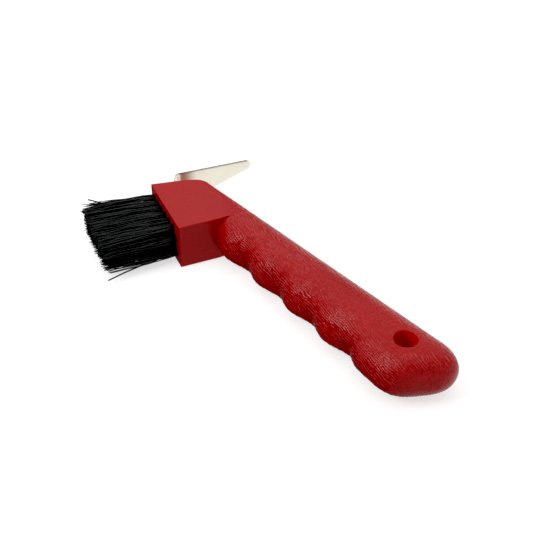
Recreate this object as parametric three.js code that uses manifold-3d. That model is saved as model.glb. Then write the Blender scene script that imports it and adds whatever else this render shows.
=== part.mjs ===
// Hoof pick with brush.
// One moulded plastic body (grip and head), a bent steel pick blade whose tang
// is moulded into the head, and a block of bristle tufts, each tuft folded
// round a flat wire anchor at the bottom of its own blind hole.
//
// Millimetres. +X runs along the grip from the head to the hang-hole end, +Z is
// the thickness, and the tool lies on its flat side. The brush points towards
// -Y and the pick blade towards +Y. The body's middle plane is z = T / 2.
import * as THREE from 'three';
import { mergeVertices } from 'three/addons/utils/BufferGeometryUtils.js';
import Module from 'manifold-3d';

// ---------------------------------------------------------------- dimensions
const T = 21.0;                      // thickness of head and grip
const MID = T / 2;

// row origin: bottom centre of the whole tool's box, in the drawing's plan
const ORIGIN_X = 76.942;
const ORIGIN_Y = -2.551;

// grip, plan outline
const BACK_Y = 15.4;                 // straight back edge of the grip
const GRIP_START_X = 16.0;           // first section, inside the head
const GRIP_CAP_X = 150.0;            // last full section; the end cap follows
const FINGER_X = [38.5, 59.6, 81.4, 103.1, 126.5];      // valleys between fingers
const FINGER_VALLEY_Y = [-4.6, -3.5, -5.3, -7.2, -8.5];
const FINGER_CREST_Y = [-6.9, -8.2, -9.75, -11.6];      // crests between them
const FINGER_SHARPNESS = 1.5;
const END_LOBE = [                   // valley 4, end lobe, oblique end, back corner
  [126.5, -8.5], [132.5, -12.4], [139.5, -13.75], [146.5, -14.25], [152.0, -12.9],
  [156.7, -8.9], [160.7, -3.2], [164.1, 2.6], [165.0, 7.6], [162.9, 12.3],
  [157.2, 15.1], [150.0, 15.4],
];
const SPINE_Y = [[16, 5.2], [38.5, 5.0], [60, 3.6], [90, 2.6], [120, 1.6], [150, 0.7]];
const SECTION_POWER = 2.3;           // superellipse power of the grip's section
const HEAD_POWER = 7.0;              // nearly square at the head's back
const SQUARING_END_X = 62.0;         // where the back starts to square off
const SHOULDER = [0.767, 0.642];     // direction in which the back shoulder stays straight
const CORNER_RADIUS = 7.5;           // head's rounded back corner, in plan
const HOLE_X = 145.7, HOLE_Y = 1.05; // hang hole
const HOLE_R = 4.6;

// head block, plan outline
const FACE_A = [0.0, -9.9];          // brush face, tip end
const FACE_B = [35.5, -20.8];        // brush face, grip end
const SIDE_D = [40.9, -3.9];         // the side towards the grip
const CREST = [43.0, 5.0];           // where that side runs out on the grip's crest
const WALL_SLOPE = 0.5192;           // end wall: x = (y - FACE_A[1]) * WALL_SLOPE

// brush
const ROWS = 4, TUFTS_PER_ROW = 6;
const ROW_PITCH = 3.85;
const TUFT_PITCH = 4.95;
const FIRST_TUFT = 4.6;              // from the tip end of the brush face
const STAGGER = 2.45;                // every other row is shifted by half a pitch
const TUFT_HOLE_R = 1.70;
const TUFT_HOLE_DEPTH = 9.0;
const TUFT_R = 1.42;                 // bundle radius in the hole
const TUFT_TIP_R = 1.95;
const BRISTLE_LENGTH = 32.5;         // proud of the face
const HOLE_SIDES = 12, TUFT_SIDES = 10;
const ANCHOR = { length: 4.2, thick: 0.45, deep: 1.5 };
const CLEAR = 0.28;

// pick blade
const STRIP_T = 1.6;
const TANG_Y = 3.4;
const TANG_END_X = 35.0;
const TANG_WIDTH = 12.0;
const BEND_R = 2.8;                  // centre line of the bend
const BEND_X = 1.52;
const BLADE_HEADING = 84.5;          // degrees from +X
const BLADE_LENGTH = 39.3;           // from the bend to the tip
const BLADE_ROOT_WIDTH = 16.7, BLADE_TIP_WIDTH = 4.5;
const TANG_HOLES_X = [15.5, 26.5];
const TANG_HOLE_R = 2.6;
const SLOT_CLEAR = 0.3;

// ------------------------------------------------------------------- helpers
const wasm = await Module();
wasm.setup();

function solid(geometry) {
  let g = geometry.index ? geometry.clone() : mergeVertices(geometry.clone());
  g.deleteAttribute('normal');
  g.deleteAttribute('uv');
  g = mergeVertices(g, 1e-4);
  const index = [];
  const src = g.index.array;
  for (let i = 0; i < src.length; i += 3) {
    const [a, b, c] = [src[i], src[i + 1], src[i + 2]];
    if (a !== b && b !== c && c !== a) index.push(a, b, c);
  }
  return new wasm.Manifold(new wasm.Mesh({
    numProp: 3,
    vertProperties: new Float32Array(g.attributes.position.array),
    triVerts: new Uint32Array(index),
  }));
}

function geometryOf(manifold) {
  const mesh = manifold.getMesh();
  const g = new THREE.BufferGeometry();
  const pos = new Float32Array((mesh.vertProperties.length / mesh.numProp) * 3);
  for (let i = 0, j = 0; i < mesh.vertProperties.length; i += mesh.numProp, j += 3) {
    pos[j] = mesh.vertProperties[i];
    pos[j + 1] = mesh.vertProperties[i + 1];
    pos[j + 2] = mesh.vertProperties[i + 2];
  }
  g.setAttribute('position', new THREE.BufferAttribute(pos, 3));
  g.setIndex(Array.from(mesh.triVerts));
  g.computeVertexNormals();
  return g;
}

// closed skin over a loop of rows; every row has the same number of points
function skin(rows, closeRows, capEnds) {
  const n = rows[0].length;
  const verts = rows.flat();
  const positions = new Float32Array(verts.length * 3);
  verts.forEach((v, i) => { positions[3 * i] = v.x; positions[3 * i + 1] = v.y; positions[3 * i + 2] = v.z; });
  const index = [];
  const count = closeRows ? rows.length : rows.length - 1;
  const cols = capEnds ? n : n - 1;
  for (let i = 0; i < count; i++) {
    const r0 = i * n, r1 = ((i + 1) % rows.length) * n;
    for (let j = 0; j < cols; j++) {
      const j1 = (j + 1) % n;
      index.push(r0 + j, r1 + j, r1 + j1, r0 + j, r1 + j1, r0 + j1);
    }
  }
  if (capEnds) {
    const last = (rows.length - 1) * n;
    for (let j = 1; j < n - 1; j++) {
      index.push(0, j, j + 1);
      index.push(last, last + j + 1, last + j);
    }
  }
  // turn the faces outwards
  let volume = 0;
  const a = new THREE.Vector3(), b = new THREE.Vector3(), c = new THREE.Vector3();
  for (let i = 0; i < index.length; i += 3) {
    a.copy(verts[index[i]]); b.copy(verts[index[i + 1]]); c.copy(verts[index[i + 2]]);
    volume += a.dot(b.cross(c));
  }
  if (volume < 0) {
    for (let i = 0; i < index.length; i += 3) [index[i + 1], index[i + 2]] = [index[i + 2], index[i + 1]];
  }
  const g = new THREE.BufferGeometry();
  g.setAttribute('position', new THREE.BufferAttribute(positions, 3));
  g.setIndex(index);
  return g;
}

function table(points, x) {
  if (x <= points[0][0]) return points[0][1];
  for (let i = 1; i < points.length; i++) {
    if (x <= points[i][0]) {
      const [x0, y0] = points[i - 1], [x1, y1] = points[i];
      return y0 + (y1 - y0) * (x - x0) / (x1 - x0);
    }
  }
  return points[points.length - 1][1];
}

// -------------------------------------------------------- grip plan outline
function fingerY(x) {
  for (let i = 0; i < FINGER_CREST_Y.length; i++) {
    const x0 = FINGER_X[i], x1 = FINGER_X[i + 1];
    if (x <= x1) {
      if (x <= x0) return FINGER_VALLEY_Y[0];
      const u = (x - x0) / (x1 - x0);
      const base = FINGER_VALLEY_Y[i] * (1 - u) + FINGER_VALLEY_Y[i + 1] * u;
      const mid = 0.5 * (FINGER_VALLEY_Y[i] + FINGER_VALLEY_Y[i + 1]);
      return base + (FINGER_CREST_Y[i] - mid) * Math.pow(Math.sin(Math.PI * u), FINGER_SHARPNESS);
    }
  }
  return FINGER_VALLEY_Y[FINGER_VALLEY_Y.length - 1];
}

const lobe = new THREE.SplineCurve(END_LOBE.map(([x, y]) => new THREE.Vector2(x, y)));
const lobePoints = lobe.getPoints(240);
const capFrom = lobePoints.findIndex((p) => p.x >= GRIP_CAP_X);
function nearY(x) {
  if (x <= FINGER_X[4]) return fingerY(x);
  for (let i = 1; i <= capFrom; i++) {
    const a = lobePoints[i - 1], b = lobePoints[i];
    if (x <= b.x) return a.y + (b.y - a.y) * (x - a.x) / (b.x - a.x);
  }
  return lobePoints[capFrom].y;
}

// The back of the section turns from round on the grip to nearly square on the
// head, while its shoulder line stays straight.
function backPower(x) {
  if (x >= SQUARING_END_X) return SECTION_POWER;
  const w = Math.pow((SQUARING_END_X - x) / (SQUARING_END_X - GRIP_START_X), 1.5);
  return SECTION_POWER * Math.pow(HEAD_POWER / SECTION_POWER, w);
}
const shoulderSpan = (() => {
  const q = SECTION_POWER / (SECTION_POWER - 1);
  const spine = table(SPINE_Y, SQUARING_END_X);
  const half = Math.pow(Math.pow(SHOULDER[0] * (BACK_Y - spine), q) + Math.pow(SHOULDER[1] * MID, q), 1 / q);
  return SHOULDER[0] * spine + half;
})();
function backY(x) {
  if (x >= SQUARING_END_X) return BACK_Y;
  const n = backPower(x), q = n / (n - 1), spine = table(SPINE_Y, x);
  const half = shoulderSpan - SHOULDER[0] * spine;
  return spine + Math.pow(Math.pow(half, q) - Math.pow(SHOULDER[1] * MID, q), 1 / q) / SHOULDER[0];
}

// ------------------------------------------------------- grip as one skin
// Half sections run from the top crest to the bottom crest. They are placed
// along the near side, round the end cap, along the back and round the head's
// back corner.
const HALF_STEPS = 12;
function halfSection(spine, edge, power) {
  const row = [];
  for (let j = 0; j <= HALF_STEPS; j++) {
    const a = Math.PI / 2 - (Math.PI * j) / HALF_STEPS;
    const c = Math.pow(Math.abs(Math.cos(a)), 2 / power) * (j === 0 || j === HALF_STEPS ? 0 : 1);
    const s = Math.sign(Math.sin(a)) * Math.pow(Math.abs(Math.sin(a)), 2 / power);
    row.push(new THREE.Vector3(spine.x + (edge.x - spine.x) * c, spine.y + (edge.y - spine.y) * c, MID + MID * s));
  }
  return row;
}

const stations = [];
const stationCount = 54;
for (let i = 0; i <= stationCount; i++) {
  stations.push(GRIP_START_X + ((GRIP_CAP_X - GRIP_START_X) * i) / stationCount);
}
const gripRows = [];
for (const x of stations) {
  gripRows.push(halfSection(new THREE.Vector2(x, table(SPINE_Y, x)), new THREE.Vector2(x, nearY(x)), SECTION_POWER));
}
const capSpine = new THREE.Vector2(GRIP_CAP_X, table(SPINE_Y, GRIP_CAP_X));
const capCount = 22;
for (let k = 1; k < capCount; k++) {
  const i = Math.round(capFrom + ((lobePoints.length - 1 - capFrom) * k) / capCount);
  gripRows.push(halfSection(capSpine, lobePoints[i], SECTION_POWER));
}
for (const x of [...stations].reverse()) {
  gripRows.push(halfSection(new THREE.Vector2(x, table(SPINE_Y, x)), new THREE.Vector2(x, backY(x)), backPower(x)));
}
// head's back corner: arc from the back edge into the end wall
const startSpine = new THREE.Vector2(GRIP_START_X, table(SPINE_Y, GRIP_START_X));
const wallAngle = Math.atan2(1, WALL_SLOPE);
const cornerY = backY(GRIP_START_X);
const wallTop = new THREE.Vector2((cornerY - FACE_A[1]) * WALL_SLOPE, cornerY);
const tangent = CORNER_RADIUS * Math.tan(wallAngle / 2);
const arcStart = new THREE.Vector2(wallTop.x + tangent, cornerY);
const arcCentre = new THREE.Vector2(arcStart.x, cornerY - CORNER_RADIUS);
for (let k = 0; k <= 8; k++) {
  const a = Math.PI / 2 + (wallAngle * k) / 8;
  const p = new THREE.Vector2(arcCentre.x + CORNER_RADIUS * Math.cos(a), arcCentre.y + CORNER_RADIUS * Math.sin(a));
  if (p.x < GRIP_START_X - 0.01) gripRows.push(halfSection(startSpine, p, HEAD_POWER + k * 0.8));
}
const wallLow = new THREE.Vector2((4.2 - FACE_A[1]) * WALL_SLOPE + 0.02, 4.2);
gripRows.push(halfSection(startSpine, wallLow, 16.0));
gripRows.push(halfSection(startSpine, new THREE.Vector2(12.0, -1.0), 6.0));
const grip = solid(skin(gripRows, true, false));

// ------------------------------------------------------------- head block
const headShape = new THREE.Shape();
headShape.moveTo(FACE_A[0], FACE_A[1]);
headShape.lineTo(FACE_B[0], FACE_B[1]);
headShape.lineTo(SIDE_D[0], SIDE_D[1]);
headShape.lineTo(CREST[0], CREST[1]);
headShape.lineTo(16.0, 5.2);
headShape.lineTo((5.2 - FACE_A[1]) * WALL_SLOPE, 5.2);
headShape.closePath();
const head = solid(new THREE.ExtrudeGeometry(headShape, { depth: T, bevelEnabled: false, steps: 1 }));

// ------------------------------------------------------- brush face frame
const faceDir = new THREE.Vector2(FACE_B[0] - FACE_A[0], FACE_B[1] - FACE_A[1]).normalize();
const faceOut = new THREE.Vector2(faceDir.y, -faceDir.x);   // away from the head
// t along the face, z up, d out of the face
function facePoint(t, z, d) {
  return new THREE.Vector3(
    FACE_A[0] + faceDir.x * t + faceOut.x * d,
    FACE_A[1] + faceDir.y * t + faceOut.y * d,
    z,
  );
}
const faceMatrix = new THREE.Matrix4().makeBasis(
  new THREE.Vector3(faceDir.x, faceDir.y, 0),
  new THREE.Vector3(0, 0, 1),
  new THREE.Vector3(faceOut.x, faceOut.y, 0).multiplyScalar(1),
);
// right-handed check: faceDir x up = faceOut when faceOut is 90 degrees clockwise
faceMatrix.setPosition(FACE_A[0], FACE_A[1], 0);

const tuftSites = [];
for (let r = 0; r < ROWS; r++) {
  for (let c = 0; c < TUFTS_PER_ROW; c++) {
    tuftSites.push({
      row: r, col: c,
      t: FIRST_TUFT + c * TUFT_PITCH + (r % 2 ? 0 : STAGGER),
      z: MID + (r - (ROWS - 1) / 2) * ROW_PITCH,
    });
  }
}

// a box or cylinder standing on the brush face, d0 to d1 measured outwards
function faceBox(t, z, dt, dz, d0, d1) {
  const g = new THREE.BoxGeometry(dt, dz, d1 - d0);
  g.translate(t, z, (d0 + d1) / 2);
  return g.applyMatrix4(faceMatrix);
}
function faceCylinder(t, z, r, d0, d1, sides) {
  const g = new THREE.CylinderGeometry(r, r, d1 - d0, sides);
  g.rotateX(Math.PI / 2);
  g.translate(t, z, (d0 + d1) / 2);
  return g.applyMatrix4(faceMatrix);
}

const anchorBottom = -(TUFT_HOLE_DEPTH - 0.95);
const anchorTop = anchorBottom + ANCHOR.deep;

// -------------------------------------------------------------- the body
let body = grip.add(head);
const hangHole = new THREE.CylinderGeometry(HOLE_R, HOLE_R, T + 4, 40);
hangHole.rotateX(Math.PI / 2);
hangHole.translate(HOLE_X, HOLE_Y, MID);
body = body.subtract(solid(hangHole));

let holes = null;
for (const s of tuftSites) {
  const hole = solid(faceCylinder(s.t, s.z, TUFT_HOLE_R, -TUFT_HOLE_DEPTH, 2.0, HOLE_SIDES));
  const pocket = solid(faceBox(
    s.t, s.z, ANCHOR.length + 2 * CLEAR, ANCHOR.thick + 2 * CLEAR,
    anchorBottom - CLEAR, anchorTop + CLEAR,
  ));
  const cut = hole.add(pocket);
  holes = holes ? holes.add(cut) : cut;
}
body = body.subtract(holes);

// tang slot: open at the end wall, with the plastic keys left standing in it
const slotBox = new THREE.BoxGeometry(TANG_END_X + SLOT_CLEAR + 2, STRIP_T + 2 * SLOT_CLEAR, TANG_WIDTH + 2 * SLOT_CLEAR);
slotBox.translate((TANG_END_X + SLOT_CLEAR - 2) / 2, TANG_Y, MID);
let slot = solid(slotBox);
for (const x of TANG_HOLES_X) {
  const key = new THREE.CylinderGeometry(TANG_HOLE_R - SLOT_CLEAR, TANG_HOLE_R - SLOT_CLEAR, STRIP_T + 4, 16);
  key.translate(x, TANG_Y, MID);
  slot = slot.subtract(solid(key));
}
body = body.subtract(slot);

// ------------------------------------------------------------- the blade
// The strip is swept along its centre line in plan: straight tang, bend of
// more than a right angle, long tapering point.
const heading = THREE.MathUtils.degToRad(BLADE_HEADING);
const bladePath = [];
const widthTang = TANG_WIDTH;
const pathPoint = (x, y, hx, hy, w) => bladePath.push({ p: new THREE.Vector2(x, y), h: new THREE.Vector2(hx, hy), w });
for (const x of [TANG_END_X, TANG_END_X - 1.2, TANG_HOLES_X[1], TANG_HOLES_X[0], 7.0]) {
  pathPoint(x, TANG_Y, -1, 0, x === TANG_END_X ? widthTang - 2.4 : widthTang);
}
pathPoint(5.35, TANG_Y, -1, 0, widthTang);
const bendCentre = new THREE.Vector2(BEND_X, TANG_Y + BEND_R);
const bendTurn = Math.PI - heading;
const bendSteps = 10;
for (let k = 0; k <= bendSteps; k++) {
  const a = -Math.PI / 2 - (bendTurn * k) / bendSteps;
  const h = Math.PI - (bendTurn * k) / bendSteps;
  const u = k / bendSteps;
  const ease = u * u * (3 - 2 * u);
  pathPoint(
    bendCentre.x + BEND_R * Math.cos(a), bendCentre.y + BEND_R * Math.sin(a),
    Math.cos(h), Math.sin(h), widthTang + 1.2 + (BLADE_ROOT_WIDTH - widthTang - 1.2) * ease,
  );
}
const bendEnd = bladePath[bladePath.length - 1].p.clone();
const dir = new THREE.Vector2(Math.cos(heading), Math.sin(heading));
const tipR = BLADE_TIP_WIDTH / 2;
const straight = BLADE_LENGTH - tipR;
for (const u of [0.2, 0.4, 0.6, 0.8, 1.0]) {
  const q = bendEnd.clone().addScaledVector(dir, straight * u);
  pathPoint(q.x, q.y, dir.x, dir.y, BLADE_ROOT_WIDTH + (BLADE_TIP_WIDTH - BLADE_ROOT_WIDTH) * u);
}
for (const deg of [20, 38, 54, 68, 80]) {
  const a = THREE.MathUtils.degToRad(deg);
  const q = bendEnd.clone().addScaledVector(dir, straight + tipR * Math.sin(a));
  pathPoint(q.x, q.y, dir.x, dir.y, BLADE_TIP_WIDTH * Math.cos(a));
}
const bladeRows = bladePath.map(({ p, h, w }) => {
  const side = new THREE.Vector2(h.y, -h.x).multiplyScalar(STRIP_T / 2);   // right of the heading
  return [
    new THREE.Vector3(p.x + side.x, p.y + side.y, MID - w / 2),
    new THREE.Vector3(p.x + side.x, p.y + side.y, MID + w / 2),
    new THREE.Vector3(p.x - side.x, p.y - side.y, MID + w / 2),
    new THREE.Vector3(p.x - side.x, p.y - side.y, MID - w / 2),
  ];
});
let blade = solid(skin(bladeRows, false, true));
for (const x of TANG_HOLES_X) {
  const hole = new THREE.CylinderGeometry(TANG_HOLE_R, TANG_HOLE_R, STRIP_T + 2, 16);
  hole.translate(x, TANG_Y, MID);
  blade = blade.subtract(solid(hole));
}

// ------------------------------------------------------------- the brush
// Bundles stand straight in their holes and fan out beyond the face, a little
// towards the tip end of the head.
const FAN_T = 0.13, FAN_Z = 0.07, LEAN = -2.4;
const centreT = FIRST_TUFT + ((TUFTS_PER_ROW - 1) * TUFT_PITCH + STAGGER) / 2;
function tuftGeometry(site) {
  const levels = [
    [-TUFT_HOLE_DEPTH + 0.3, TUFT_R],
    [0.6, TUFT_R],
    [BRISTLE_LENGTH * 0.35, TUFT_R + (TUFT_TIP_R - TUFT_R) * 0.4],
    [BRISTLE_LENGTH * 0.7, TUFT_R + (TUFT_TIP_R - TUFT_R) * 0.75],
    [BRISTLE_LENGTH, TUFT_TIP_R],
  ];
  const rows = levels.map(([d, r]) => {
    const g = d <= 0.6 ? 0 : (d - 0.6) / (BRISTLE_LENGTH - 0.6);
    const row = [];
    for (let j = 0; j < TUFT_SIDES; j++) {
      const a = (2 * Math.PI * j) / TUFT_SIDES + Math.PI / TUFT_SIDES;
      let t = site.t + r * Math.cos(a);
      let z = site.z + r * Math.sin(a);
      t += (t - centreT) * FAN_T * g + LEAN * g;
      z += (z - MID) * FAN_Z * g;
      row.push(facePoint(t, z, d));
    }
    return row;
  });
  const bundle = solid(skin(rows, false, true));
  const window = solid(faceBox(
    site.t, site.z, 2 * TUFT_R + 1, ANCHOR.thick + 2 * CLEAR,
    anchorBottom - CLEAR, anchorTop + CLEAR,
  ));
  return geometryOf(bundle.subtract(window));
}

// -------------------------------------------------------------- assembly
const plastic = new THREE.MeshStandardMaterial({ color: 0xa61c22, roughness: 0.38, metalness: 0.0 });
const steel = new THREE.MeshStandardMaterial({ color: 0xd8d2c2, roughness: 0.22, metalness: 1.0 });
const bristle = new THREE.MeshStandardMaterial({ color: 0x0c0c0e, roughness: 0.45, metalness: 0.0 });
const wire = new THREE.MeshStandardMaterial({ color: 0xb9b4a8, roughness: 0.35, metalness: 1.0 });

const tool = new THREE.Group();
tool.position.set(-ORIGIN_X, -ORIGIN_Y, 0);
function place(name, geometry, material) {
  const mesh = new THREE.Mesh(geometry, material.clone());
  mesh.name = name;
  tool.add(mesh);
  return mesh;
}

place('handle_body', geometryOf(body), plastic);
place('pick_blade', geometryOf(blade), steel);
for (const s of tuftSites) {
  const tag = `${s.row + 1}_${s.col + 1}`;
  place(`bristle_tuft_${tag}`, tuftGeometry(s), bristle);
  place(
    `tuft_anchor_${tag}`,
    faceBox(s.t, s.z, ANCHOR.length, ANCHOR.thick, anchorBottom, anchorTop),
    wire,
  );
}

const group = new THREE.Group();
group.add(tool);
export default group;
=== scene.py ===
import math
import bmesh
import bpy
import numpy as np
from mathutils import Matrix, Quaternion, Vector


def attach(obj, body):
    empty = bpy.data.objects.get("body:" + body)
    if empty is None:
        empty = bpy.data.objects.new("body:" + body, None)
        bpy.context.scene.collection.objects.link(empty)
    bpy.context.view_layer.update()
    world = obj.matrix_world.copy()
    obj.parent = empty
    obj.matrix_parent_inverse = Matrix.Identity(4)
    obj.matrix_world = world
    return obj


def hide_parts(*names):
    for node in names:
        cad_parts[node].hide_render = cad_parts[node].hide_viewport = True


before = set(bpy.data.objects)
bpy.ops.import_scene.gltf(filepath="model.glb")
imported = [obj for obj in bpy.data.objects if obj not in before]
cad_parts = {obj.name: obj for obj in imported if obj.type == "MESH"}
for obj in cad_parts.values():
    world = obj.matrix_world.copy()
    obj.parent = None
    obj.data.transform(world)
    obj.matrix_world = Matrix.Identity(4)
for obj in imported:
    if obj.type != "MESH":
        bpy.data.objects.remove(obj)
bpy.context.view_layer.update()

# Hoof pick with brush. Lengths below are millimetres in the drawing's plan;
# ORIGIN takes them to the row frame, and M to metres.
ORIGIN = np.array([76.942, -2.551, 0.0])
M = 0.001
T = 21.0
MID = T / 2
SKIN = 0.006                # the grip's crest stands this much over the head's faces

BACK_Y = 15.4
START_X, CAP_X = 16.0, 150.0
FINGER_X = [38.5, 59.6, 81.4, 103.1, 126.5]
VALLEY_Y = [-4.6, -3.5, -5.3, -7.2, -8.5]
CREST_Y = [-6.9, -8.2, -9.75, -11.6]
SHARP = 1.5
END_LOBE = np.array([
    [126.5, -8.5], [132.5, -12.4], [139.5, -13.75], [146.5, -14.25], [152.0, -12.9],
    [156.7, -8.9], [160.7, -3.2], [164.1, 2.6], [165.0, 7.6], [162.9, 12.3],
    [157.2, 15.1], [150.0, 15.4]])
SPINE = np.array([[16, 5.2], [38.5, 5.0], [60, 3.6], [90, 2.6], [120, 1.6], [150, 0.7]])
POWER, HEAD_POWER, SQUARING_END = 2.3, 7.0, 62.0
SHOULDER = (0.767, 0.642)
CORNER_R = 7.5
GRAIN = 0.138               # height of the moulded ridges
HOLE = np.array([145.7, 1.05])
HOLE_R = 4.6
FACE_A, FACE_B = np.array([0.0, -9.9]), np.array([35.5, -20.8])
SIDE_D, CREST = np.array([40.9, -3.9]), np.array([43.0, 5.0])
WALL = 0.5192

ROWS, PER_ROW = 4, 6
ROW_PITCH, TUFT_PITCH, FIRST, STAGGER = 3.85, 4.95, 4.6, 2.45
HOLE_D, TUFT_HOLE_R, LENGTH = 9.0, 1.70, 32.5

STRIP_T, TANG_Y, TANG_END, TANG_W = 1.6, 3.4, 35.0, 12.0
BEND_R, BEND_X, HEADING, BLADE_L = 2.8, 1.52, math.radians(84.5), 39.3
ROOT_W, TIP_W = 16.7, 4.5
TANG_HOLES, TANG_HOLE_R = [15.5, 26.5], 2.6


# --------------------------------------------------------------- mesh helpers
def to_row(co):
    return (np.asarray(co, float) - ORIGIN) * M


def mesh_of(name, verts, faces):
    me = bpy.data.meshes.new(name)
    me.from_pydata([tuple(v) for v in verts], [], [tuple(int(i) for i in f) for f in faces])
    me.validate()
    me.update()
    return me


def object_of(name, verts, faces, smooth=None):
    me = mesh_of(name, to_row(verts), faces)
    bm = bmesh.new()
    bm.from_mesh(me)
    if bm.calc_volume(signed=True) < 0:
        bmesh.ops.reverse_faces(bm, faces=bm.faces)
    bm.to_mesh(me)
    bm.free()
    o = bpy.data.objects.new(name, me)
    bpy.context.scene.collection.objects.link(o)
    if smooth is not None:
        shade(o, smooth)
    return o


def shade(o, degrees):
    o.data.polygons.foreach_set("use_smooth", np.ones(len(o.data.polygons), bool))
    o.data.set_sharp_from_angle(angle=math.radians(degrees))
    o.data.update()


def boolean(a, b, op):
    """a with b joined or cut away; b is removed."""
    m = a.modifiers.new("b", "BOOLEAN")
    m.operation, m.solver, m.object = op, "MANIFOLD", b
    bpy.context.view_layer.update()
    dg = bpy.context.evaluated_depsgraph_get()
    me = bpy.data.meshes.new_from_object(a.evaluated_get(dg))
    a.modifiers.clear()
    old = a.data
    a.data = me
    bpy.data.meshes.remove(old)
    data = b.data
    bpy.data.objects.remove(b)
    bpy.data.meshes.remove(data)
    return a


def noise2(x, y, seed, n=257):
    """Smooth lattice noise, 0 to 1."""
    g = np.random.RandomState(seed).rand(n, n)
    xi, yi = np.floor(x).astype(int), np.floor(y).astype(int)
    fx, fy = x - xi, y - yi
    fx, fy = fx * fx * fx * (fx * (fx * 6 - 15) + 10), fy * fy * fy * (fy * (fy * 6 - 15) + 10)
    a, b = g[xi % n, yi % n], g[(xi + 1) % n, yi % n]
    c, d = g[xi % n, (yi + 1) % n], g[(xi + 1) % n, (yi + 1) % n]
    return (a * (1 - fx) + b * fx) * (1 - fy) + (c * (1 - fx) + d * fx) * fy


def noise3(x, y, z, seed, n=64):
    """Smooth lattice noise in space, 0 to 1."""
    g = np.random.RandomState(seed).rand(n, n, n)
    xi, yi, zi = (np.floor(q).astype(int) for q in (x, y, z))
    fx, fy, fz = x - xi, y - yi, z - zi
    fx, fy, fz = (q * q * q * (q * (q * 6 - 15) + 10) for q in (fx, fy, fz))
    out = 0
    for i, wx in ((0, 1 - fx), (1, fx)):
        for j, wy in ((0, 1 - fy), (1, fy)):
            for k, wz in ((0, 1 - fz), (1, fz)):
                out = out + g[(xi + i) % n, (yi + j) % n, (zi + k) % n] * wx * wy * wz
    return out


def smoothstep(a, b, x):
    t = np.clip((x - a) / (b - a), 0, 1)
    return t * t * (3 - 2 * t)


# --------------------------------------------------------- grip: plan outline
def cubic(points):
    """Natural cubic through points (x, y)."""
    x, y = points[:, 0].astype(float), points[:, 1].astype(float)
    n = len(x)
    h = np.diff(x)
    A = np.zeros((n, n))
    r = np.zeros(n)
    A[0, 0] = A[-1, -1] = 1
    for i in range(1, n - 1):
        A[i, i - 1], A[i, i], A[i, i + 1] = h[i - 1], 2 * (h[i - 1] + h[i]), h[i]
        r[i] = 3 * ((y[i + 1] - y[i]) / h[i] - (y[i] - y[i - 1]) / h[i - 1])
    c = np.linalg.solve(A, r)
    b = np.diff(y) / h - h * (2 * c[:-1] + c[1:]) / 3
    d = np.diff(c) / (3 * h)

    def f(q):
        q = np.asarray(q, float)
        i = np.clip(np.searchsorted(x, q) - 1, 0, n - 2)
        t = q - x[i]
        return y[i] + b[i] * t + c[i] * t * t + d[i] * t ** 3
    return f


spine_y = cubic(SPINE)


def lobe_points(count):
    """Uniform Catmull-Rom through END_LOBE."""
    p = END_LOBE
    n = len(p)
    out = []
    for k in range(count + 1):
        q = (n - 1) * k / count
        i = min(int(q), n - 2)
        w = q - i
        p0, p1, p2, p3 = p[max(i - 1, 0)], p[i], p[i + 1], p[min(i + 2, n - 1)]
        v0, v1 = (p2 - p0) * 0.5, (p3 - p1) * 0.5
        out.append((2 * p1 - 2 * p2 + v0 + v1) * w ** 3 + (-3 * p1 + 3 * p2 - 2 * v0 - v1) * w * w + v0 * w + p1)
    return np.array(out)


LOBE = lobe_points(2400)
CAP_FROM = int(np.argmax(LOBE[:, 0] >= CAP_X))


def near_y(x):
    x = np.asarray(x, float)
    y = np.full_like(x, VALLEY_Y[0])
    for i in range(4):
        m = (x > FINGER_X[i]) & (x <= FINGER_X[i + 1])
        u = (x[m] - FINGER_X[i]) / (FINGER_X[i + 1] - FINGER_X[i])
        base = VALLEY_Y[i] * (1 - u) + VALLEY_Y[i + 1] * u
        mid = 0.5 * (VALLEY_Y[i] + VALLEY_Y[i + 1])
        y[m] = base + (CREST_Y[i] - mid) * np.sin(np.pi * u) ** SHARP
    m = x > FINGER_X[4]
    y[m] = np.interp(x[m], LOBE[:CAP_FROM + 1, 0], LOBE[:CAP_FROM + 1, 1])
    return y


def back_power(x):
    w = np.clip((SQUARING_END - x) / (SQUARING_END - START_X), 0, 1) ** 1.5
    return POWER * (HEAD_POWER / POWER) ** w


def back_y(x):
    q0 = POWER / (POWER - 1)
    s0 = float(spine_y(SQUARING_END))
    span = SHOULDER[0] * s0 + ((SHOULDER[0] * (BACK_Y - s0)) ** q0 + (SHOULDER[1] * MID) ** q0) ** (1 / q0)
    n = back_power(x)
    q = n / (n - 1)
    s = spine_y(x)
    half = span - SHOULDER[0] * s
    y = s + (half ** q - (SHOULDER[1] * MID) ** q) ** (1 / q) / SHOULDER[0]
    return np.where(np.asarray(x) >= SQUARING_END, BACK_Y, y)


# ------------------------------------------------------------ grip: the skin
FINE = 1.35
STATIONS = int(440 * FINE)
HALF = int(156 * FINE)
CAP_ROWS = int(170 * FINE)


def grain_lines(x, y, z):
    """The moulded grain at a place on the grip: wavy broken ridges, and fine pebble between them."""
    across = (0.20 * x + 0.83 * y + 0.60 * z) * 1.12          # ridges crossed
    along = 0.93 * x - 0.25 * y - 0.28 * z
    warp = 1.7 * (noise3(x / 5.5, y / 4.2, z / 4.2, 11) - 0.5) + 0.7 * (noise3(x / 2.3, y / 2.0, z / 2.0, 12) - 0.5)
    ridge = 0.5 + 0.5 * np.sin(2 * np.pi * (across + warp))
    breakup = 0.42 + 0.58 * smoothstep(0.22, 0.55, noise3(along / 1.7, across / 1.0, (z - y) / 0.9, 14))
    pebble = noise3(along / 0.7, across / 0.42, (z - y) / 0.45, 15)
    return ridge * breakup, pebble


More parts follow.
